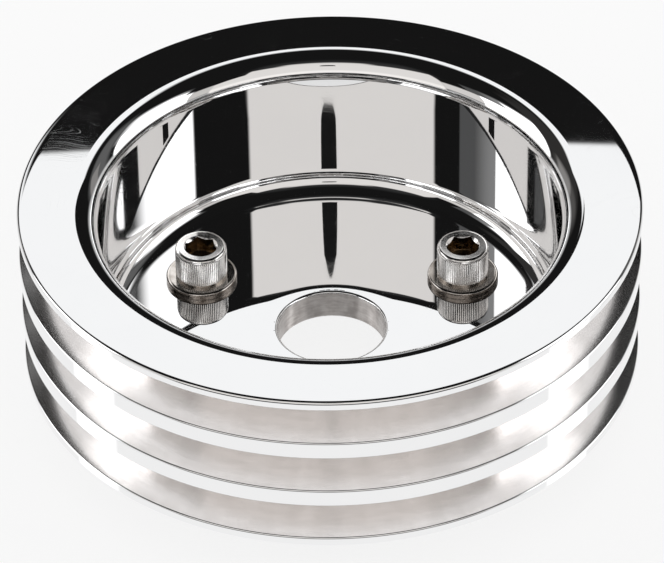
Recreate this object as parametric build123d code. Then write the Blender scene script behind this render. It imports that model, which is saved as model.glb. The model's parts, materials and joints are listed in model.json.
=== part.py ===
from build123d import *
from math import cos, pi
import os

# Crankshaft accessory pulley for three V-belts, turned from one billet, with the three socket-head cap screws
# and flat washers that bolt it to the crank hub.
# Units are millimetres. The pulley's axis is Z, with z = 0 on the rear mounting face and the cup opening at +Z.

INCH = 25.4

# Pulley body
RIM_RADIUS = 6.625 * INCH / 2
WEB_THICKNESS = 23 / 64 * INCH
CUP_DEPTH = 44.05
CUP_RADIUS = 62.5
LIP_ROUND = 6.5
FLOOR_FILLET = 6.0
FACE_EDGE_ROUND = 0.85
REAR_EDGE_ROUND = 0.5

# Belt grooves
GROOVE_COUNT = 3
GROOVE_OPENING = 11.2
GROOVE_DEPTH = 12.7
GROOVE_BOTTOM = 2.95
GROOVE_ROOT_ROUND = 0.6
END_LAND = 2.7
MIDDLE_LAND = 5.1
LAND_EDGE_ROUND = 0.5

# Rear pad and centre bore
PAD_RADIUS = 54.0
PAD_EDGE_ROUND = 0.8
PAD_ROOT_FILLET = 1.5
BORE_RADIUS = 14.8
BORE_EDGE_ROUND = 0.8

# Screw pattern
SCREW_COUNT = 3
SCREW_CIRCLE_RADIUS = 41.8
FIRST_SCREW_ANGLE = -90.0
SCREW_HOLE_RADIUS = 13 / 32 * INCH / 2
SCREW_HOLE_CHAMFER = 0.4

# Flat washer
WASHER_RADIUS = 9.8
WASHER_HOLE_RADIUS = 13 / 32 * INCH / 2
WASHER_THICKNESS = 2.0
WASHER_TOP_ROUND = 0.8
WASHER_LOWER_ROUND = 0.15

# Socket-head cap screw, 3/8-24 by 1 inch. Its plain body fills the clamped thickness, and the thread below is a
# cylinder of the thread's pitch diameter.
HEAD_RADIUS = 9 / 16 * INCH / 2
HEAD_HEIGHT = 3 / 8 * INCH
HEAD_TOP_ROUND = 0.9
HEAD_LOWER_CHAMFER = 0.75
SOCKET_ACROSS_FLATS = 5 / 16 * INCH
SOCKET_DEPTH = 4.8
SOCKET_CONE_DEPTH = 1.6
SOCKET_CHAMFER = 0.45
SOCKET_TURNS = (20.0, 2.0, 44.0)
PLAIN_BODY_RADIUS = 4.7
THREAD_RADIUS = 0.3479 * INCH / 2
THREAD_RUNOUT = 0.9
SHANK_LENGTH = 1.0 * INCH
THREAD_END_CHAMFER = 0.9

# Worked out from the sizes above
RIM_WIDTH = 2 * END_LAND + (GROOVE_COUNT - 1) * MIDDLE_LAND + GROOVE_COUNT * GROOVE_OPENING
TOP_Z = WEB_THICKNESS + CUP_DEPTH
RIM_BOTTOM_Z = TOP_Z - RIM_WIDTH
GROOVE_PITCH = GROOVE_OPENING + MIDDLE_LAND
GROOVE_ROOT_RADIUS = RIM_RADIUS - GROOVE_DEPTH


def groove_outline(index):
    """The four corners of one belt groove, from its lower edge to its upper one, as (radius, z)."""
    middle = RIM_BOTTOM_Z + END_LAND + GROOVE_OPENING / 2 + index * GROOVE_PITCH
    return [
        (RIM_RADIUS, middle - GROOVE_OPENING / 2),
        (GROOVE_ROOT_RADIUS, middle - GROOVE_BOTTOM / 2),
        (GROOVE_ROOT_RADIUS, middle + GROOVE_BOTTOM / 2),
        (RIM_RADIUS, middle + GROOVE_OPENING / 2),
    ]


def profile(outline):
    """A closed face in the XZ plane, from its (radius, z) corners."""
    return make_face(Polyline([Vector(r, 0, z) for r, z in outline], close=True)).face()


def rounded(face, corners, radius):
    """The face with the given (radius, z) corners rounded."""
    picked = []
    for r, z in corners:
        place = Vector(r, 0, z)
        picked.append(min(face.vertices(), key=lambda vertex: (Vector(vertex.center()) - place).length))
    return face.fillet_2d(radius, picked)


def screw_places():
    """The middle of each screw hole on the rear face."""
    pattern = PolarLocations(SCREW_CIRCLE_RADIUS, SCREW_COUNT, FIRST_SCREW_ANGLE)
    return [location.position for location in pattern]


def pulley_body():
    """Rim, cup and web in one turned piece, with the screw holes drilled through the web."""
    grooves = [groove_outline(index) for index in range(GROOVE_COUNT)]
    outline = [(BORE_RADIUS, 0), (PAD_RADIUS, 0), (PAD_RADIUS, RIM_BOTTOM_Z), (RIM_RADIUS, RIM_BOTTOM_Z)]
    for groove in grooves:
        outline += groove
    outline += [
        (RIM_RADIUS, TOP_Z),
        (CUP_RADIUS, TOP_Z),
        (CUP_RADIUS, WEB_THICKNESS),
        (BORE_RADIUS, WEB_THICKNESS),
    ]
    face = profile(outline)
    face = rounded(face, [(CUP_RADIUS, TOP_Z)], LIP_ROUND)
    face = rounded(face, [(CUP_RADIUS, WEB_THICKNESS)], FLOOR_FILLET)
    face = rounded(face, [(RIM_RADIUS, TOP_Z)], FACE_EDGE_ROUND)
    face = rounded(face, [(RIM_RADIUS, RIM_BOTTOM_Z)], REAR_EDGE_ROUND)
    face = rounded(face, [corner for groove in grooves for corner in (groove[0], groove[3])], LAND_EDGE_ROUND)
    face = rounded(face, [corner for groove in grooves for corner in groove[1:3]], GROOVE_ROOT_ROUND)
    face = rounded(face, [(PAD_RADIUS, 0)], PAD_EDGE_ROUND)
    face = rounded(face, [(PAD_RADIUS, RIM_BOTTOM_Z)], PAD_ROOT_FILLET)
    face = rounded(face, [(BORE_RADIUS, 0), (BORE_RADIUS, WEB_THICKNESS)], BORE_EDGE_ROUND)
    body = revolve(face, Axis.Z, 360)
    for place in screw_places():
        body -= drilled_hole(place)
    return body


def drilled_hole(place):
    """The space of one screw hole, with a small chamfer at each face of the web."""
    wide = SCREW_HOLE_RADIUS + SCREW_HOLE_CHAMFER
    outline = [
        (0, 0),
        (wide, 0),
        (SCREW_HOLE_RADIUS, SCREW_HOLE_CHAMFER),
        (SCREW_HOLE_RADIUS, WEB_THICKNESS - SCREW_HOLE_CHAMFER),
        (wide, WEB_THICKNESS),
        (0, WEB_THICKNESS),
    ]
    face = profile(outline)
    return Pos(place.X, place.Y, 0) * revolve(face, Axis.Z, 360)


def flat_washer(place):
    """A stamped washer, lying on the web with its rounded side up."""
    low, high = WEB_THICKNESS, WEB_THICKNESS + WASHER_THICKNESS
    corners = [(WASHER_HOLE_RADIUS, low), (WASHER_RADIUS, low), (WASHER_RADIUS, high), (WASHER_HOLE_RADIUS, high)]
    face = profile(corners)
    face = rounded(face, [corners[2]], WASHER_TOP_ROUND)
    face = rounded(face, [corners[0], corners[1], corners[3]], WASHER_LOWER_ROUND)
    return Pos(place.X, place.Y, 0) * revolve(face, Axis.Z, 360)


def cap_screw(place, socket_turn):
    """A socket-head cap screw with its head seated on the washer, its shank through the web and its thread below."""
    seat = WEB_THICKNESS + WASHER_THICKNESS
    top = seat + HEAD_HEIGHT
    end = seat - SHANK_LENGTH
    outline = [
        (0, end),
        (THREAD_RADIUS - THREAD_END_CHAMFER, end),
        (THREAD_RADIUS, end + THREAD_END_CHAMFER),
        (THREAD_RADIUS, 0),
        (PLAIN_BODY_RADIUS, THREAD_RUNOUT),
        (PLAIN_BODY_RADIUS, seat),
        (HEAD_RADIUS - HEAD_LOWER_CHAMFER, seat),
        (HEAD_RADIUS, seat + HEAD_LOWER_CHAMFER),
        (HEAD_RADIUS, top),
        (0, top),
    ]
    face = profile(outline)
    face = rounded(face, [(HEAD_RADIUS, top)], HEAD_TOP_ROUND)
    screw = revolve(face, Axis.Z, 360)
    return Pos(place.X, place.Y, 0) * (screw - Rot(0, 0, socket_turn) * socket_space(top))


def socket_space(top):
    """The hexagon socket with a corner at +X, its countersunk mouth and the drill point below it."""
    to_flats = SOCKET_ACROSS_FLATS / 2
    to_corners = to_flats / cos(pi / 6)
    hexagon = RegularPolygon(to_flats, 6, major_radius=False)
    mouth = Cone(to_corners - SOCKET_CHAMFER, to_corners, SOCKET_CHAMFER)
    drill_point = Cone(0, to_flats, SOCKET_CONE_DEPTH)
    space = Pos(0, 0, top - SOCKET_DEPTH) * extrude(hexagon, SOCKET_DEPTH)
    space += Pos(0, 0, top - SOCKET_CHAMFER / 2) * mouth
    space += Pos(0, 0, top - SOCKET_DEPTH - SOCKET_CONE_DEPTH / 2) * drill_point
    return space


os.makedirs("parts", exist_ok=True)
export_step(pulley_body(), "parts/pulley_body.step")
for number, (place, turn) in enumerate(zip(screw_places(), SOCKET_TURNS), start=1):
    export_step(flat_washer(place), f"parts/flat_washer_{number}.step")
    export_step(cap_screw(place, turn), f"parts/cap_screw_{number}.step")
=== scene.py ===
import json
from math import acos, atan2, copysign, cos, pi, radians, sin, tan

import bmesh
import bpy
from mathutils import Matrix, Vector


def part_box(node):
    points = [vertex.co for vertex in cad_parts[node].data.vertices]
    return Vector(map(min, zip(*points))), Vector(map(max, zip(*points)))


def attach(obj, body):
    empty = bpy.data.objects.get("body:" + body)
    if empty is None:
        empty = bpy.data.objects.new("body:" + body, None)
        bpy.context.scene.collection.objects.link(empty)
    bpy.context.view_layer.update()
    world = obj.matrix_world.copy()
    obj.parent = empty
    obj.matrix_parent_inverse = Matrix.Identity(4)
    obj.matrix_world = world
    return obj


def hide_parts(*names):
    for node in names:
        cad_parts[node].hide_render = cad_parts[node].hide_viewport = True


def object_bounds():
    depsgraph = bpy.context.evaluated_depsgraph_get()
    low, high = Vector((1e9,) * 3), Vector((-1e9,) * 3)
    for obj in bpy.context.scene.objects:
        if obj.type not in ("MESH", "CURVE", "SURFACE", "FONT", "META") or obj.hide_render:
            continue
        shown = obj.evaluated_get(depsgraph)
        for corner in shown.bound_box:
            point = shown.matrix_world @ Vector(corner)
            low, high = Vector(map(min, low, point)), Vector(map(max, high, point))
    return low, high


# A three-groove crankshaft pulley, turned and polished, with three socket-head cap screws on flat washers.
# Lengths are metres. The pulley's axis is Z, its rear mounting face is at z = 0 and its cup opens upwards.

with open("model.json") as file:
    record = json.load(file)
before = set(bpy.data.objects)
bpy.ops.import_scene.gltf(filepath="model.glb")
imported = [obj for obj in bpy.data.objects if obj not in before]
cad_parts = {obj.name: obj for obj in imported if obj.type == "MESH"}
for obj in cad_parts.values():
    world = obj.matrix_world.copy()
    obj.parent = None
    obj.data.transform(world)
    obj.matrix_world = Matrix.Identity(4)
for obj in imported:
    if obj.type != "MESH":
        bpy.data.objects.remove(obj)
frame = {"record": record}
cad_low, cad_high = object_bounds()
MM = 0.001
INCH = 25.4 * MM

# Read from the frame
body_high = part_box("pulley_body")[1]
MOUNTS = {mount["name"]: mount for mount in frame["record"]["mounts"]}
RIM_RADIUS = body_high.x
TOP_Z = body_high.z
BORE_RADIUS = MOUNTS["centre_bore"]["dims"]["r_mm"] * MM
SCREW_COUNT = MOUNTS["crank_hub_screws"]["dims"]["count"]
THREAD_PITCH_RADIUS = MOUNTS["crank_hub_screws"]["dims"]["stud_r_mm"] * MM
WEB_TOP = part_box("flat_washer_1")[0].z
SEAT_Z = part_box("flat_washer_1")[1].z
HEAD_TOP_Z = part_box("cap_screw_1")[1].z
TIP_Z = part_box("cap_screw_1")[0].z
FLOOR_Z = cad_low.z

# Pulley body, the same sizes as the CAD model's
CUP_RADIUS = 62.5 * MM
LIP_ROUND = 6.5 * MM
FLOOR_FILLET = 6.0 * MM
FACE_EDGE_ROUND = 0.85 * MM
REAR_EDGE_ROUND = 0.5 * MM
GROOVE_COUNT = 3
GROOVE_OPENING = 11.2 * MM
GROOVE_DEPTH = 12.7 * MM
GROOVE_BOTTOM = 2.95 * MM
GROOVE_ROOT_ROUND = 0.6 * MM
END_LAND = 2.7 * MM
MIDDLE_LAND = 5.1 * MM
LAND_EDGE_ROUND = 0.5 * MM
PAD_RADIUS = 54.0 * MM
PAD_EDGE_ROUND = 0.8 * MM
PAD_ROOT_FILLET = 1.5 * MM
BORE_EDGE_ROUND = 0.8 * MM
SCREW_HOLE_RADIUS = 13 / 32 * INCH / 2
SCREW_HOLE_CHAMFER = 0.4 * MM
DISH_RADIUS = 31.0 * MM
DISH_SLOPE = radians(0.3)
DISH_EASE = 4.0 * MM
WORN_REACH = 4.5 * MM
WORN_SLOPE = radians(1.1)
ROLL_START = 81.2 * MM
ROLL_SLOPE = radians(3.5)
RIM_BOTTOM_Z = TOP_Z - 2 * END_LAND - (GROOVE_COUNT - 1) * MIDDLE_LAND - GROOVE_COUNT * GROOVE_OPENING
GROOVE_ROOT_RADIUS = RIM_RADIUS - GROOVE_DEPTH
LATHE_STEPS = 480
ROLL_STEPS = 14
DISH_STEPS = 24
HOLE_STEPS = 96
SUPPORT = 0.03 * MM

# Washer
WASHER_RADIUS = 9.8 * MM
WASHER_HOLE_RADIUS = 13 / 32 * INCH / 2
WASHER_TOP_ROUND = 0.8 * MM
WASHER_LOWER_ROUND = 0.15 * MM
WASHER_STEPS = 192

# Cap screw
HEAD_RADIUS = 9 / 16 * INCH / 2
HEAD_TOP_ROUND = 0.9 * MM
HEAD_LOWER_CHAMFER = 0.75 * MM
KNURL_TEETH = 78
KNURL_DEPTH = 0.22 * MM
STEPS_PER_TOOTH = 8
SOCKET_TO_FLATS = 5 / 16 * INCH / 2
SOCKET_TO_CORNERS = SOCKET_TO_FLATS / cos(pi / 6)
SOCKET_DEPTH = 4.8 * MM
SOCKET_CONE_DEPTH = 1.6 * MM
SOCKET_TURNS = (20.0, 2.0, 44.0)
PLAIN_BODY_RADIUS = 4.7 * MM
UNDER_HEAD_REACH = 0.3 * MM
UNDER_HEAD_FILLET = 0.25 * MM
THREAD_RUNOUT = 0.9 * MM
THREAD_PITCH = INCH / 24
THREAD_DEPTH = 0.61 * THREAD_PITCH
THREAD_ROOT_ROUND = 0.06 * MM
THREAD_STAND = 0.03 * MM
THREAD_STEPS = 96


def rounded_outline(corners):
    """Points along an open outline of (x, z, radius, steps) corners, with each corner's round as an arc.

    Two extra points close to the ends of each straight run keep its shading flat."""
    points = [(corners[0][0], corners[0][1])]
    for before, here, after in zip(corners, corners[1:], corners[2:]):
        x, z, radius, steps = here
        middle = Vector((x, z))
        back = (Vector(before[:2]) - middle).normalized()
        ahead = (Vector(after[:2]) - middle).normalized()
        if radius == 0:
            points.append((x, z))
            continue
        half = acos(max(-1.0, min(1.0, back.dot(ahead)))) / 2
        reach = radius / tan(half)
        centre = middle + (back + ahead).normalized() * (radius / sin(half))
        start, end = middle + back * reach, middle + ahead * reach
        points.append(tuple(start + back * SUPPORT))
        first = atan2(start.y - centre.y, start.x - centre.x)
        turn = (atan2(end.y - centre.y, end.x - centre.x) - first + pi) % (2 * pi) - pi
        for step in range(steps + 1):
            angle = first + turn * step / steps
            points.append((centre.x + radius * cos(angle), centre.y + radius * sin(angle)))
        points.append(tuple(end + ahead * SUPPORT))
    points.append((corners[-1][0], corners[-1][1]))
    return points


def ring(bm, radius, z, steps, centre=(0.0, 0.0), turn=0.0):
    """A ring of vertices. Its radius and height may be numbers, or functions of the angle round it."""
    made = []
    for step in range(steps):
        angle = 2 * pi * step / steps
        reach = radius(angle) if callable(radius) else radius
        height = z(angle) if callable(z) else z
        place = (centre[0] + reach * cos(angle + turn), centre[1] + reach * sin(angle + turn), height)
        made.append(bm.verts.new(place))
    return made


def skin(bm, lower, upper, material=0):
    """Quads between two rings. They face outwards when the first ring lies below the second."""
    steps = len(lower)
    for step in range(steps):
        ahead = (step + 1) % steps
        face = bm.faces.new((lower[step], lower[ahead], upper[ahead], upper[step]))
        face.material_index = material
        face.smooth = True


def cap(bm, edge, z, centre, upwards):
    """Closes a ring with a fan of triangles to a point on its axis."""
    middle = bm.verts.new((centre[0], centre[1], z))
    for first, second in zip(edge, edge[1:] + edge[:1]):
        face = bm.faces.new((first, second, middle) if upwards else (second, first, middle))
        face.smooth = True


def flat_with_holes(bm, rings, facing, material=0):
    """A flat face between an outer ring and the rings of its holes."""
    edges = []
    for one in rings:
        for first, second in zip(one, one[1:] + one[:1]):
            edges.append(bm.edges.get((first, second)) or bm.edges.new((first, second)))
    filled = bmesh.ops.triangle_fill(bm, use_beauty=True, use_dissolve=False, edges=edges, normal=facing)
    for face in filled["geom"]:
        if isinstance(face, bmesh.types.BMFace):
            face.material_index = material
            face.smooth = True
            face.normal_update()
            if face.normal.dot(Vector(facing)) < 0:
                face.normal_flip()


def finished(bm, name, body, node, materials, sharp_angle):
    """The bmesh as a piece that stands for a CAD node and rides on its body."""
    mesh = bpy.data.meshes.new(name)
    bm.to_mesh(mesh)
    bm.free()
    mesh.set_sharp_from_angle(angle=radians(sharp_angle))
    for material in materials:
        mesh.materials.append(material)
    piece = bpy.data.objects.new(name, mesh)
    bpy.context.scene.collection.objects.link(piece)
    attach(piece, body)
    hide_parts(node)
    return piece


def middle_of(node):
    """The axis of a round node, as (x, y)."""
    low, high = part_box(node)
    return (low.x + high.x) / 2, (low.y + high.y) / 2


# Places in each piece's list of materials
POLISHED, TURNED, BORED, REAR = 0, 1, 2, 3
WASHER_FACE, WASHER_EDGE = 0, 1
HEAD, SOCKET, THREAD = 0, 1, 2


def dished(radius):
    """The height of the cup's floor near the bore, where polishing has worn it slightly hollow."""
    inside = DISH_RADIUS - radius
    hollow = DISH_SLOPE * inside ** 2 / (inside + DISH_EASE)
    worn = max(0.0, BORE_RADIUS + BORE_EDGE_ROUND + WORN_REACH - radius)
    return WEB_TOP - hollow - WORN_SLOPE * worn ** 2 / (2 * WORN_REACH)


def rolled(radius):
    """The height of the top face near its outer edge, which polishing has rolled off slightly."""
    reach = RIM_RADIUS - FACE_EDGE_ROUND - ROLL_START
    return TOP_Z - ROLL_SLOPE * reach * max(0.0, (radius - ROLL_START) / reach) ** 4 / 4


def pulley(materials):
    """The turned body: a lathed outline, and two flat faces that the screw holes pass through."""
    bm = bmesh.new()
    web_edge = CUP_RADIUS - FLOOR_FILLET - SUPPORT
    bore_edge = BORE_RADIUS + BORE_EDGE_ROUND + SUPPORT
    bore_top = dished(bore_edge)
    pad_edge = PAD_RADIUS - PAD_EDGE_ROUND - SUPPORT
    outside = [
        (pad_edge, 0.0, 0, 0),
        (PAD_RADIUS, 0.0, PAD_EDGE_ROUND, 5),
        (PAD_RADIUS, RIM_BOTTOM_Z, PAD_ROOT_FILLET, 6),
        (RIM_RADIUS, RIM_BOTTOM_Z, REAR_EDGE_ROUND, 5),
    ]
    for index in range(GROOVE_COUNT):
        middle = RIM_BOTTOM_Z + END_LAND + GROOVE_OPENING / 2 + index * (GROOVE_OPENING + MIDDLE_LAND)
        outside += [
            (RIM_RADIUS, middle - GROOVE_OPENING / 2, LAND_EDGE_ROUND, 5),
            (GROOVE_ROOT_RADIUS, middle - GROOVE_BOTTOM / 2, GROOVE_ROOT_ROUND, 5),
            (GROOVE_ROOT_RADIUS, middle + GROOVE_BOTTOM / 2, GROOVE_ROOT_ROUND, 5),
            (RIM_RADIUS, middle + GROOVE_OPENING / 2, LAND_EDGE_ROUND, 5),
        ]
    roll_end = RIM_RADIUS - FACE_EDGE_ROUND
    outside.append((RIM_RADIUS, rolled(roll_end) - ROLL_SLOPE * FACE_EDGE_ROUND, FACE_EDGE_ROUND, 10))
    for step in range(ROLL_STEPS + 1):
        radius = roll_end + (ROLL_START - roll_end) * step / ROLL_STEPS
        outside.append((radius, rolled(radius), 0, 0))
    outside += [
        (CUP_RADIUS, TOP_Z, LIP_ROUND, 24),
        (CUP_RADIUS, WEB_TOP, FLOOR_FILLET, 24),
        (web_edge, WEB_TOP, 0, 0),
    ]
    inside = [
        (bore_edge, bore_top, 0, 0),
        (BORE_RADIUS, bore_top, BORE_EDGE_ROUND, 10),
        (BORE_RADIUS, 0.0, BORE_EDGE_ROUND, 6),
        (bore_edge, 0.0, 0, 0),
    ]
    outside_points = rounded_outline(outside)
    dish_radii = [DISH_RADIUS + (bore_edge - DISH_RADIUS) * step / DISH_STEPS for step in range(DISH_STEPS)]
    dish = [(DISH_RADIUS + SUPPORT, WEB_TOP)] + [(radius, dished(radius)) for radius in dish_radii]
    inside_points = dish + rounded_outline(inside)
    in_groove = RIM_RADIUS - LAND_EDGE_ROUND
    for points in (outside_points, inside_points):
        rings = [ring(bm, x, z, LATHE_STEPS) for x, z in points]
        for (x, z), (next_x, next_z), lower, upper in zip(points, points[1:], rings, rings[1:]):
            middle_x, middle_z = (x + next_x) / 2, (z + next_z) / 2
            material = POLISHED
            between_lands = RIM_BOTTOM_Z + END_LAND < middle_z < TOP_Z - END_LAND
            if between_lands and GROOVE_ROOT_RADIUS - SUPPORT < middle_x < in_groove:
                material = TURNED
            if middle_z < RIM_BOTTOM_Z + SUPPORT / 2 and middle_x < RIM_RADIUS - REAR_EDGE_ROUND:
                material = REAR
            if points is inside_points and middle_x < BORE_RADIUS + SUPPORT / 2:
                material = BORED
            skin(bm, lower, upper, material)
        if points is outside_points:
            outer_rings = rings
        else:
            inner_rings = rings
    top_rings = [outer_rings[-1], inner_rings[0]]
    rear_rings = [outer_rings[0], inner_rings[-1]]
    for number in range(1, SCREW_COUNT + 1):
        wide = SCREW_HOLE_RADIUS + SCREW_HOLE_CHAMFER
        levels = [
            (wide, WEB_TOP),
            (SCREW_HOLE_RADIUS, WEB_TOP - SCREW_HOLE_CHAMFER),
            (SCREW_HOLE_RADIUS, SCREW_HOLE_CHAMFER),
            (wide, 0.0),
        ]
        centre = middle_of(f"flat_washer_{number}")
        holes = [ring(bm, radius, z, HOLE_STEPS, centre) for radius, z in levels]
        for upper, lower in zip(holes, holes[1:]):
            skin(bm, upper, lower, BORED)
        top_rings.append(holes[0])
        rear_rings.append(holes[-1])
    flat_with_holes(bm, top_rings, (0, 0, 1), POLISHED)
    flat_with_holes(bm, rear_rings, (0, 0, -1), REAR)
    return finished(bm, "pulley_billet", "pulley", "pulley_body", materials, 35)


def washer(number, materials):
    """A stamped flat washer with its rounded side up, bright on its faces, and rougher on its sheared edge,
    whose dark colour is painted shade.
    """
    bm = bmesh.new()
    foot = (WASHER_HOLE_RADIUS + WASHER_RADIUS) / 2
    points = rounded_outline([
        (foot, WEB_TOP, 0, 0),
        (WASHER_RADIUS, WEB_TOP, WASHER_LOWER_ROUND, 3),
        (WASHER_RADIUS, SEAT_Z, WASHER_TOP_ROUND, 8),
        (WASHER_HOLE_RADIUS, SEAT_Z, WASHER_LOWER_ROUND, 3),
        (WASHER_HOLE_RADIUS, WEB_TOP, WASHER_LOWER_ROUND, 3),
        (foot, WEB_TOP, 0, 0),
    ])
    centre = middle_of(f"flat_washer_{number}")
    rings = [ring(bm, x, z, WASHER_STEPS, centre) for x, z in points[:-1]]
    for lower, upper in zip(rings, rings[1:] + rings[:1]):
        skin(bm, lower, upper)
    # The side and the outer strip of its round take the edge material, which is painted dark as shade.
    for face in bm.faces:
        place = face.calc_center_median()
        outside = (place.xy - Vector(centre)).length > WASHER_RADIUS - WASHER_TOP_ROUND / 8
        face.material_index = WASHER_EDGE if outside else WASHER_FACE
    name = f"washer_{number}"
    return finished(bm, f"{name}_ring", name, f"flat_washer_{number}", materials, 40)


def to_hexagon(angle):
    """The distance from the axis to the socket's wall, with a corner at angle zero."""
    return SOCKET_TO_FLATS / cos((angle % (pi / 3)) - pi / 6)


def knurled(depth):
    """A ring radius with the head's straight teeth cut to this depth."""
    def reach(angle):
        return HEAD_RADIUS - depth * (0.5 - 0.5 * cos(KNURL_TEETH * angle)) ** 1.4
    return reach


def thread(bm, centre, turn):
    """A right-handed thread on a grid that follows the helix, with a runout above and a chamfered tip.

    Gives its top and bottom rings."""
    crest = THREAD_PITCH_RADIUS + THREAD_DEPTH / 2
    root = crest - THREAD_DEPTH
    crest = min(crest, PLAIN_BODY_RADIUS + THREAD_STAND)
    corner = root + THREAD_ROOT_ROUND
    shape = ((0.0, crest), (0.12, crest), (0.41, corner), (0.5, root), (0.63, root), (0.72, corner))
    tip_radius = THREAD_PITCH_RADIUS - THREAD_RUNOUT
    turns = int((THREAD_RUNOUT - TIP_Z) / THREAD_PITCH) + 3
    made = {}

    def wound(step, row):
        """A grid point's height on the endless thread, and its radius."""
        share, reach = shape[row % len(shape)]
        lap = row // len(shape)
        return THREAD_RUNOUT + THREAD_PITCH * (1 + step / THREAD_STEPS - lap - share), reach

    def vertex(step, row):
        """A grid point's vertex, held between the runout and the tip."""
        free_place, reach = wound(step, row)
        place = min(max(free_place, TIP_Z), THREAD_RUNOUT)
        if place != free_place:
            reach = PLAIN_BODY_RADIUS if place > 0 else tip_radius
        key = (step % THREAD_STEPS, round(place / MM, 5))
        if key not in made:
            reach = min(reach, tip_radius + (place - TIP_Z))
            reach += (PLAIN_BODY_RADIUS - reach) * max(0.0, place / THREAD_RUNOUT)
            angle = 2 * pi * step / THREAD_STEPS + turn
            x, y = centre[0] + reach * cos(angle), centre[1] + reach * sin(angle)
            made[key] = bm.verts.new((x, y, place))
        return made[key]

    for row in range(turns * len(shape)):
        for step in range(THREAD_STEPS):
            grid = ((step, row), (step, row + 1), (step + 1, row + 1), (step + 1, row))
            corners = tuple(dict.fromkeys(vertex(*point) for point in grid))
            if len(corners) > 2 and bm.faces.get(corners) is None:
                face = bm.faces.new(corners)
                face.smooth = True
    top = [made[(step, round(THREAD_RUNOUT / MM, 5))] for step in range(THREAD_STEPS)]
    bottom = [made[(step, round(TIP_Z / MM, 5))] for step in range(THREAD_STEPS)]
    return top, bottom


def cap_screw(number, head_material, socket_material, thread_material):
    """A socket-head cap screw: knurled head, hexagon socket, plain body and thread."""
    bm = bmesh.new()
    node = f"cap_screw_{number}"
    centre = middle_of(node)
    turn = radians(SOCKET_TURNS[number - 1])
    steps = KNURL_TEETH * STEPS_PER_TOOTH

    def level(radius, z):
        return ring(bm, radius, z, steps, centre, turn)

    # The head, from under its rim, past its chamfer, knurl, neck and round, to the socket's mouth
    knurl_start = SEAT_Z + HEAD_LOWER_CHAMFER
    band = [
        (PLAIN_BODY_RADIUS + UNDER_HEAD_REACH, SEAT_Z),
        (HEAD_RADIUS - HEAD_LOWER_CHAMFER - 0.1 * MM, SEAT_Z),
        (HEAD_RADIUS - 0.12 * MM, knurl_start),
        (knurled(KNURL_DEPTH * 0.4), knurl_start + 0.1 * MM),
        (knurled(KNURL_DEPTH), knurl_start + 0.3 * MM),
        (knurled(KNURL_DEPTH), HEAD_TOP_Z - 1.38 * MM),
        (HEAD_RADIUS - 0.22 * MM, HEAD_TOP_Z - 1.25 * MM),
        (HEAD_RADIUS - 0.26 * MM, HEAD_TOP_Z - 1.18 * MM),
    ]
    rim = [
        (HEAD_RADIUS - 0.05 * MM, HEAD_TOP_Z - 1.1 * MM, 0, 0),
        (HEAD_RADIUS, HEAD_TOP_Z, HEAD_TOP_ROUND + 0.1 * MM, 12),
        (SOCKET_TO_CORNERS + 0.12 * MM, HEAD_TOP_Z, 0, 0),
    ]
    band += rounded_outline(rim)
    mouth = SOCKET_TO_CORNERS + 0.04 * MM
    rings = [level(radius, z) for radius, z in band]
    rings.append(level(mouth, HEAD_TOP_Z - 0.05 * MM))
    for lower, upper in zip(rings, rings[1:]):
        skin(bm, lower, upper, HEAD)
    countersunk = level(to_hexagon, lambda angle: HEAD_TOP_Z - 0.08 * MM - (mouth - to_hexagon(angle)))
    skin(bm, rings[-1], countersunk, HEAD)
    floor_z = HEAD_TOP_Z - SOCKET_DEPTH
    deep = level(to_hexagon, floor_z)
    # The socket's walls, floor and point take the socket material, which is painted dark as shade.
    skin(bm, countersunk, deep, SOCKET)
    drilled = level(SOCKET_TO_FLATS * 0.97, floor_z)
    skin(bm, deep, drilled, SOCKET)
    point = level(0.6 * MM, floor_z - SOCKET_CONE_DEPTH * 0.85)
    skin(bm, drilled, point, SOCKET)
    cap(bm, point, floor_z - SOCKET_CONE_DEPTH, centre, True)

    # The shank, from the head's underside down to the tip
    root_fillet = [
        (PLAIN_BODY_RADIUS + UNDER_HEAD_REACH, SEAT_Z, 0, 0),
        (PLAIN_BODY_RADIUS, SEAT_Z, UNDER_HEAD_FILLET, 4),
        (PLAIN_BODY_RADIUS, THREAD_RUNOUT, 0, 0),
    ]
    under_head = rings[0]
    shank = [ring(bm, x, z, THREAD_STEPS, centre, turn) for x, z in rounded_outline(root_fillet)[:-1]]
    flat_with_holes(bm, [under_head, shank[0]], (0, 0, -1))
    top, bottom = thread(bm, centre, turn)
    shank.append(top)
    for upper, lower in zip(shank, shank[1:]):
        skin(bm, lower, upper, THREAD)
    inner = ring(bm, (THREAD_PITCH_RADIUS - THREAD_RUNOUT) * 0.85, TIP_Z, THREAD_STEPS, centre, turn)
    skin(bm, inner, bottom, THREAD)
    cap(bm, inner, TIP_Z, centre, False)
    for face in bm.faces:
        if face.calc_center_median().z < SEAT_Z - SUPPORT:
            face.material_index = THREAD
    materials = [head_material, socket_material, thread_material]
    return finished(bm, f"screw_{number}_steel", f"screw_{number}", node, materials, 32)


# Node trees
def fill(tree, socket, value):
    """Sets an input from another node's output or from a plain value."""
    if isinstance(value, bpy.types.NodeSocket):
        tree.links.new(value, socket)
    else:
        socket.default_value = value


def calc(tree, operation, *values):
    """A maths node's result."""
    made = tree.nodes.new("ShaderNodeMath")
    made.operation = operation
    for socket, value in zip(made.inputs, values):
        fill(tree, socket, value)
    return made.outputs[0]


def vector_calc(tree, operation, *values, scale=None):
    """A vector maths node's result."""
    made = tree.nodes.new("ShaderNodeVectorMath")
    made.operation = operation
    for socket, value in zip(made.inputs, values):
        fill(tree, socket, value)
    if scale is not None:
        fill(tree, made.inputs["Scale"], scale)
    return made.outputs["Value" if operation == "LENGTH" else "Vector"]


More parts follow.
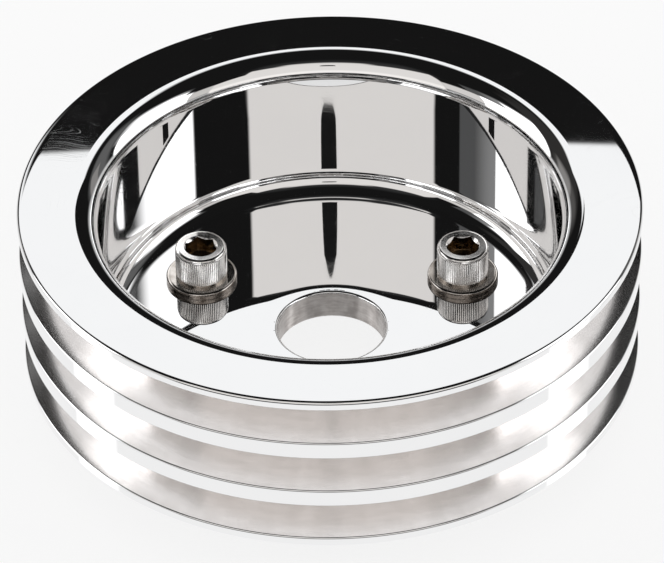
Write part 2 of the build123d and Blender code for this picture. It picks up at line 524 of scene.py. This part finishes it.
def ramp(tree, value, low, high, to_low=0.0, to_high=1.0):
    """A value brought smoothly from one range to another, held at both ends."""
    made = tree.nodes.new("ShaderNodeMapRange")
    made.interpolation_type = "SMOOTHSTEP"
    for name, given in (
        ("Value", value), ("From Min", low), ("From Max", high), ("To Min", to_low), ("To Max", to_high)
    ):
        fill(tree, made.inputs[name], given)
    return made.outputs["Result"]


def joined(tree, x, y, z):
    """Three values as a vector."""
    made = tree.nodes.new("ShaderNodeCombineXYZ")
    for socket, value in zip(made.inputs, (x, y, z)):
        fill(tree, socket, value)
    return made.outputs[0]


def split(tree, vector):
    """A vector's three values."""
    made = tree.nodes.new("ShaderNodeSeparateXYZ")
    fill(tree, made.inputs[0], vector)
    return made.outputs


def noise(tree, place, scale, detail=2.0, roughness=0.5):
    """Noise over a place in space, about 0.5 in the middle."""
    made = tree.nodes.new("ShaderNodeTexNoise")
    fill(tree, made.inputs["Vector"], place)
    made.inputs["Scale"].default_value = scale
    made.inputs["Detail"].default_value = detail
    made.inputs["Roughness"].default_value = roughness
    return made.outputs["Fac"]


def noise_along(tree, value):
    """Noise along one value."""
    made = tree.nodes.new("ShaderNodeTexNoise")
    made.noise_dimensions = "1D"
    fill(tree, made.inputs["W"], value)
    made.inputs["Scale"].default_value = 1.0
    made.inputs["Detail"].default_value = 2.0
    return made.outputs["Fac"]


def blend_colour(tree, share, first, second):
    """A mix of two colours."""
    made = tree.nodes.new("ShaderNodeMix")
    made.data_type = "RGBA"
    factor, first_colour, second_colour = made.inputs[0], made.inputs[6], made.inputs[7]
    fill(tree, factor, share)
    fill(tree, first_colour, first)
    fill(tree, second_colour, second)
    return made.outputs[2]


def bump(tree, height, distance):
    """A surface normal from a height, in metres for a height of 1."""
    made = tree.nodes.new("ShaderNodeBump")
    made.inputs["Strength"].default_value = 1.0
    made.inputs["Distance"].default_value = distance
    fill(tree, made.inputs["Height"], height)
    return made.outputs[0]


def metal(name):
    """A new metal material, its node tree and its shader."""
    material = bpy.data.materials.new(name)
    material.use_nodes = True
    tree = material.node_tree
    shader = tree.nodes["Principled BSDF"]
    shader.inputs["Metallic"].default_value = 1.0
    return material, tree, shader


def object_place(tree):
    """A point's place on its piece, in metres."""
    return tree.nodes.new("ShaderNodeTexCoord").outputs["Object"]


def turned_place(tree, place, around, across):
    """A place for grain that runs round the axis: spread out along the circle, packed close across it."""
    x, y, z = split(tree, place)
    radius = vector_calc(tree, "LENGTH", joined(tree, x, y, 0.0))
    along = calc(tree, "MULTIPLY", calc(tree, "ADD", radius, z), across)
    side = calc(tree, "DIVIDE", calc(tree, "MULTIPLY", x, around), radius)
    ahead = calc(tree, "DIVIDE", calc(tree, "MULTIPLY", y, around), radius)
    return joined(tree, side, ahead, along)


def polished_aluminium():
    """Mirror-polished billet: faint circular marks, fine swirls from the polishing mop, and a little haze.

    The cup's wall is hazier at both sides, where the mop has left it unfinished."""
    material, tree, shader = metal("mirror polished aluminium")
    place = object_place(tree)
    lines = noise(tree, turned_place(tree, place, 5.0, 2600.0), 1.0, 3.0)
    swirl_field = noise(tree, place, 26.0, 1.0)
    swirls = noise_along(tree, calc(tree, "MULTIPLY", swirl_field, 420.0))
    patches = noise(tree, place, 70.0, 3.0, 0.6)
    marks = calc(tree, "MULTIPLY", ramp(tree, swirls, 0.55, 0.8), ramp(tree, patches, 0.45, 0.7))
    haze = calc(tree, "MULTIPLY", ramp(tree, noise(tree, place, 22.0, 2.0), 0.45, 0.75), 0.012)
    x, y, _ = split(tree, place)
    radius = vector_calc(tree, "LENGTH", joined(tree, x, y, 0.0))
    on_wall = calc(tree, "COMPARE", radius, CUP_RADIUS, 0.2 * MM)
    aside = ramp(tree, calc(tree, "ABSOLUTE", x), 48.0 * MM, 58.0 * MM)
    wall_haze = ramp(tree, swirls, 0.4, 0.8, 0.02, 0.13)
    unfinished = calc(tree, "MULTIPLY", calc(tree, "MULTIPLY", on_wall, aside), wall_haze)
    haze = calc(tree, "ADD", haze, unfinished)
    rough = calc(tree, "ADD", calc(tree, "MULTIPLY", marks, 0.07), calc(tree, "ADD", haze, 0.01))
    fill(tree, shader.inputs["Roughness"], rough)
    tint = blend_colour(tree, patches, (0.905, 0.905, 0.91, 1.0), (0.93, 0.93, 0.93, 1.0))
    fill(tree, shader.inputs["Base Color"], tint)
    height = calc(tree, "ADD", lines, calc(tree, "MULTIPLY", swirls, 0.15))
    fill(tree, shader.inputs["Normal"], bump(tree, height, 3.0e-8))
    return material


def turned_aluminium(name, low_tint, high_tint, roughness, groove_depth, around):
    """Satin turned metal: fine circular tool lines that spread light across them, and long soft streaks."""
    material, tree, shader = metal(name)
    place = object_place(tree)
    lines = noise(tree, turned_place(tree, place, around, 1500.0), 1.0, 2.0)
    streaks = noise(tree, turned_place(tree, place, around, 900.0), 1.0, 3.0, 0.6)
    clouds = noise(tree, turned_place(tree, place, around * 2, 150.0), 1.0, 2.0)
    shade = calc(tree, "ADD", calc(tree, "MULTIPLY", streaks, 0.6), calc(tree, "MULTIPLY", clouds, 0.4))
    tint = blend_colour(tree, ramp(tree, shade, 0.3, 0.7), low_tint, high_tint)
    fill(tree, shader.inputs["Base Color"], tint)
    fill(tree, shader.inputs["Roughness"], ramp(tree, shade, 0.3, 0.7, roughness * 1.06, roughness * 0.94))
    shader.inputs["Anisotropic"].default_value = 0.9
    shader.inputs["Anisotropic Rotation"].default_value = 0.25
    tangent = tree.nodes.new("ShaderNodeTangent")
    tangent.direction_type = "RADIAL"
    tangent.axis = "Z"
    fill(tree, shader.inputs["Tangent"], tangent.outputs[0])
    fill(tree, shader.inputs["Normal"], bump(tree, lines, groove_depth))
    return material


def stainless(name, low_tint, high_tint, roughness, scale, depth):
    """Tumbled stainless steel, with fine pits and a slightly warm, uneven tone."""
    material, tree, shader = metal(name)
    place = object_place(tree)
    broad = noise(tree, place, scale, 3.0)
    fine = noise(tree, place, scale * 9.0, 3.0, 0.65)
    tint = blend_colour(tree, ramp(tree, broad, 0.35, 0.65), low_tint, high_tint)
    fill(tree, shader.inputs["Base Color"], tint)
    fill(tree, shader.inputs["Roughness"], ramp(tree, fine, 0.3, 0.75, roughness * 0.75, roughness * 1.35))
    fill(tree, shader.inputs["Normal"], bump(tree, fine, depth))
    return material


# Studio. Azimuths are degrees from +Y towards +X, elevations degrees above the horizon.
PALE = (0.955, 0.955, 0.955)
WARM = (1.0, 0.968, 0.94)
COOL = (0.985, 0.993, 1.0)
NEUTRAL = (1.0, 1.0, 1.0)
CRISP = 0.03

# name, middle azimuth, half width, its softness, low elevation, its softness, high elevation, its softness,
# lean of the upper edge, radiance, tint
PANELS = (
    ("back_softbox", 3.8, 18.8, 3.0, 37.5, CRISP, 53.5, 4.0, 0.0, 1.0, COOL),
    ("back_softbox_side", -19.0, 11.0, 1.5, 34.8, 0.8, 46.5, 2.5, 0.75, 1.0, COOL),
    ("right_card", 89.0, 23.0, 1.5, 3.0, 2.0, 31.0, 3.0, 0.0, 2.2, NEUTRAL),
    ("right_card_top", 83.5, 17.5, 8.0, 26.0, 3.0, 43.5, 4.0, 0.0, 1.25, NEUTRAL),
    ("right_card_end", 97.4, 9.4, 1.0, 26.0, 3.0, 41.0, 2.0, -0.2, 1.5, NEUTRAL),
    ("left_card", -84.3, 21.3, 1.5, 3.0, 2.0, 32.0, 2.5, 0.12, 2.2, NEUTRAL),
    ("left_card_top", -75.0, 13.0, 0.7, 26.0, 3.0, 40.5, 2.5, 0.0, 1.5, NEUTRAL),
    ("left_card_fall", -89.0, 11.0, 11.0, 28.0, 3.0, 43.0, 3.0, 0.0, 0.24, NEUTRAL),
    ("left_card_glow", -98.0, 13.5, 0.7, 28.0, 3.0, 43.0, 3.0, 0.0, 0.085, COOL),
    ("front_card", -174.0, 47.75, 1.0, 1.5, 2.0, 46.5, 2.0, 0.0, 0.78, WARM),
    ("front_card_crown", 178.0, 24.0, 6.0, 30.0, 4.0, 51.0, 3.0, 0.0, 0.74, WARM),
    ("front_card_base", 178.5, 55.5, 1.5, 1.5, 2.0, 21.0, 11.0, 0.0, 0.96, WARM),
    ("front_card_right", 136.0, 13.0, 2.0, 1.5, 2.0, 35.0, 1.5, 0.5, 0.78, WARM),
    ("front_ceiling", -174.0, 50.0, 12.0, 40.0, 1.0, 62.0, 14.0, 0.0, 0.035, COOL),
    ("right_strip", 46.5, 5.0, 1.5, 3.0, 2.0, 27.0, 3.0, 0.0, 0.24, WARM),
    ("left_strip", -48.0, 8.0, 3.0, 3.0, 2.0, 23.0, 7.0, 0.0, 0.24, WARM),
    ("right_faint", 50.0, 10.5, 4.0, 3.0, 2.0, 46.0, 6.0, 0.2, 0.115, NEUTRAL),
    ("left_faint", -43.0, 16.0, 6.0, 3.0, 2.0, 24.0, 8.0, 0.0, 0.085, WARM),
    ("left_ceiling", -46.0, 20.0, 6.0, 20.0, 6.0, 56.0, 6.0, 0.0, 0.03, WARM),
    ("table", 0.0, 181.0, 0.5, -91.0, 0.5, -36.0, 1.5, 0.0, 0.93, NEUTRAL),
    ("right_low_card", 80.0, 13.0, 8.0, -50.0, 4.0, -28.0, 4.0, 0.0, 1.6, NEUTRAL),
    ("left_low_card", -81.0, 13.0, 8.0, -50.0, 4.0, -28.0, 4.0, 0.0, 1.6, NEUTRAL),
    ("right_gap_fill", 115.0, 12.0, 4.0, 7.0, 3.0, 29.5, 2.0, 0.0, 0.6, WARM),
    ("left_gap_fill", -116.0, 13.0, 4.0, 8.0, 3.0, 29.5, 2.0, 0.0, 0.68, WARM),
)
HORIZON_GLOW = 0.82
FRONT_GAP = 0.1
DARK = 0.008
FLOOR_REACH = 30.0
FLOOR_GREY = (0.2, 0.2, 0.2, 1.0)
FLOOR_GLOW = 0.77


def panel_share(tree, azimuth, elevation, panel):
    """How much of a soft-edged panel lies in a direction, from 0 to 1."""
    _, middle, half, side_soft, low, low_soft, high, high_soft, lean, _, _ = panel
    aside = calc(tree, "WRAP", calc(tree, "SUBTRACT", azimuth, middle), 180.0, -180.0)
    levelled = calc(tree, "SUBTRACT", elevation, calc(tree, "MULTIPLY", aside, lean))
    across = ramp(tree, calc(tree, "ABSOLUTE", aside), half - side_soft, half + side_soft, 1.0, 0.0)
    above = ramp(tree, elevation, low - low_soft, low + low_soft)
    below = ramp(tree, levelled, high - high_soft, high + high_soft, 1.0, 0.0)
    return calc(tree, "MULTIPLY", across, calc(tree, "MULTIPLY", above, below))


def studio():
    """Large soft cards round a dark room for the metal to mirror, and even pale light for everything else.

    The table is mirrored as a card too. The dark gap between it and the front cards edges the lands."""
    world = bpy.data.worlds.new("studio")
    world.use_nodes = True
    world.cycles.sampling_method = "NONE"
    bpy.context.scene.world = world
    tree = world.node_tree
    direction = tree.nodes.new("ShaderNodeTexCoord").outputs["Generated"]
    x, y, z = split(tree, direction)
    azimuth = calc(tree, "DEGREES", calc(tree, "ARCTAN2", x, y))
    elevation = calc(tree, "DEGREES", calc(tree, "ARCSINE", z))
    past_front = calc(tree, "WRAP", calc(tree, "SUBTRACT", azimuth, 180.0), 180.0, -180.0)
    from_front = calc(tree, "ABSOLUTE", past_front)
    horizon = ramp(tree, from_front, 48.0, 60.0, FRONT_GAP, HORIZON_GLOW)
    glow = ramp(tree, elevation, -1.0, 11.0, horizon, DARK)
    light = joined(tree, glow, glow, glow)
    for panel in PANELS:
        radiance, tint = panel[-2:]
        colour = tuple(radiance * channel for channel in tint)
        shown = vector_calc(tree, "SCALE", colour, scale=panel_share(tree, azimuth, elevation, panel))
        light = vector_calc(tree, "MAXIMUM", light, shown)
    mirrored = tree.nodes.new("ShaderNodeLightPath").outputs["Is Glossy Ray"]
    shown = blend_colour(tree, mirrored, (*PALE, 1.0), light)
    fill(tree, tree.nodes["Background"].inputs["Color"], shown)


def floor():
    """A plain pale floor, lit from inside like a light table, that the screws' tips stand on."""
    mesh = bpy.data.meshes.new("floor")
    corners = [(x * FLOOR_REACH, y * FLOOR_REACH, FLOOR_Z) for x, y in ((-1, -1), (1, -1), (1, 1), (-1, 1))]
    mesh.from_pydata(corners, [], [(0, 1, 2, 3)])
    material = bpy.data.materials.new("pale floor")
    material.use_nodes = True
    shader = material.node_tree.nodes["Principled BSDF"]
    shader.inputs["Base Color"].default_value = FLOOR_GREY
    shader.inputs["Roughness"].default_value = 1.0
    shader.inputs["Specular IOR Level"].default_value = 0.0
    shader.inputs["Emission Color"].default_value = (1.0, 1.0, 1.0, 1.0)
    shader.inputs["Emission Strength"].default_value = FLOOR_GLOW
    mesh.materials.append(material)
    ground = bpy.data.objects.new("floor", mesh)
    bpy.context.scene.collection.objects.link(ground)
    ground.visible_glossy = False


# Camera
LENS_LENGTH = 269.783
SENSOR_WIDTH = 36.0
VIEW_TURN = radians(1.09)
CAMERA_DISTANCE = 1.0514
CAMERA_HEIGHT = 0.8792
CAMERA_YAW = 0.0003
CAMERA_PITCH = 0.6824
CAMERA_ROLL = -0.01496
CAMERA_HALF_WIDTH = 0.074
CAMERA_TOP = 0.066
CAMERA_BASE = 0.059
CAMERA_BASE_SQUARENESS = 4.3
CAMERA_OUTLINE_STEPS = 96


def make_camera():
    """A long lens at the front, looking down at about 39 degrees. Gives its place and the way it points."""
    yaw = CAMERA_YAW - VIEW_TURN
    ahead = Vector((sin(yaw) * cos(CAMERA_PITCH), cos(yaw) * cos(CAMERA_PITCH), -sin(CAMERA_PITCH)))
    right = Vector((cos(yaw), -sin(yaw), 0))
    up = right.cross(ahead)
    rolled_right = right * cos(CAMERA_ROLL) + up * sin(CAMERA_ROLL)
    rolled_up = up * cos(CAMERA_ROLL) - right * sin(CAMERA_ROLL)
    turned = Matrix((rolled_right, rolled_up, -ahead)).transposed().to_4x4()
    x, y = CAMERA_DISTANCE * sin(VIEW_TURN), -CAMERA_DISTANCE * cos(VIEW_TURN)
    turned.translation = (x, y, CAMERA_HEIGHT)
    lens = bpy.data.cameras.new("camera")
    lens.sensor_width = SENSOR_WIDTH
    lens.lens = LENS_LENGTH
    camera = bpy.data.objects.new("camera", lens)
    bpy.context.scene.collection.objects.link(camera)
    camera.matrix_world = turned
    bpy.context.scene.camera = camera
    return turned


def camera_body(turned):
    """The dark camera body, round above and squarer below, seen only as a reflection in the metal."""
    bm = bmesh.new()
    outline = []
    for step in range(CAMERA_OUTLINE_STEPS):
        angle = 2 * pi * step / CAMERA_OUTLINE_STEPS
        power, height = (1.0, CAMERA_TOP) if sin(angle) > 0 else (2 / CAMERA_BASE_SQUARENESS, CAMERA_BASE)
        across = copysign(abs(cos(angle)) ** power, cos(angle))
        upright = copysign(abs(sin(angle)) ** power, sin(angle))
        outline.append(bm.verts.new((CAMERA_HALF_WIDTH * across, height * upright, 0)))
    bm.faces.new(outline)
    mesh = bpy.data.meshes.new("camera_body")
    bm.to_mesh(mesh)
    bm.free()
    material = bpy.data.materials.new("camera black")
    material.use_nodes = True
    shader = material.node_tree.nodes["Principled BSDF"]
    shader.inputs["Base Color"].default_value = (0.01, 0.01, 0.01, 1.0)
    shader.inputs["Roughness"].default_value = 1.0
    shader.inputs["Specular IOR Level"].default_value = 0.0
    mesh.materials.append(material)
    front = bpy.data.objects.new("camera_body", mesh)
    bpy.context.scene.collection.objects.link(front)
    front.matrix_world = turned
    front.visible_camera = False
    front.visible_diffuse = False
    front.visible_shadow = False


bpy.context.scene.view_settings.view_transform = "Standard"
camera_body(make_camera())
studio()
floor()
polished = polished_aluminium()
turned = turned_aluminium(
    "satin turned aluminium", (0.89, 0.87, 0.86, 1), (0.96, 0.945, 0.94, 1), 0.145, 1.5e-7, 9.0
)
# Walls of the bore and screw holes: the dark colour is painted shade inside them, while the aluminium
# itself is as pale as the rest.
bored_with_painted_shade = turned_aluminium("bored aluminium", (0.38, 0.35, 0.335, 1), (0.6, 0.57, 0.55, 1), 0.32, 8.0e-7, 3.0)
rear = turned_aluminium("faced aluminium", (0.86, 0.855, 0.85, 1), (0.93, 0.925, 0.92, 1), 0.3, 8.0e-7, 9.0)
pulley([polished, turned, bored_with_painted_shade, rear])
washer_steel = stainless(
    "tumbled washer steel", (0.5, 0.465, 0.43, 1), (0.66, 0.625, 0.59, 1), 0.13, 260.0, 1.0e-6
)
# The washer's side: rougher sheared steel, with a dark brown colour that is painted shade standing in for
# the dark surroundings it mirrors.
washer_edge_painted_shade = stainless(
    "sheared washer edge with painted shade", (0.14, 0.115, 0.095, 1), (0.3, 0.265, 0.235, 1), 0.3, 300.0, 3.0e-6
)
head_steel = stainless(
    "bright screw steel", (0.84, 0.82, 0.8, 1), (0.95, 0.94, 0.93, 1), 0.16, 300.0, 8.0e-7
)
# The socket's dark colour is painted shade in the recess; its brown tint stands for oily residue.
socket_steel_painted_shade = stainless(
    "broached socket steel with painted shade", (0.22, 0.17, 0.12, 1), (0.42, 0.34, 0.24, 1), 0.16, 500.0, 1.0e-6
)
thread_steel = stainless(
    "rolled thread steel", (0.55, 0.53, 0.5, 1), (0.66, 0.63, 0.6, 1), 0.24, 300.0, 2.0e-6
)
for number in range(1, SCREW_COUNT + 1):
    washer(number, [washer_steel, washer_edge_painted_shade])
    cap_screw(number, head_steel, socket_steel_painted_shade, thread_steel)
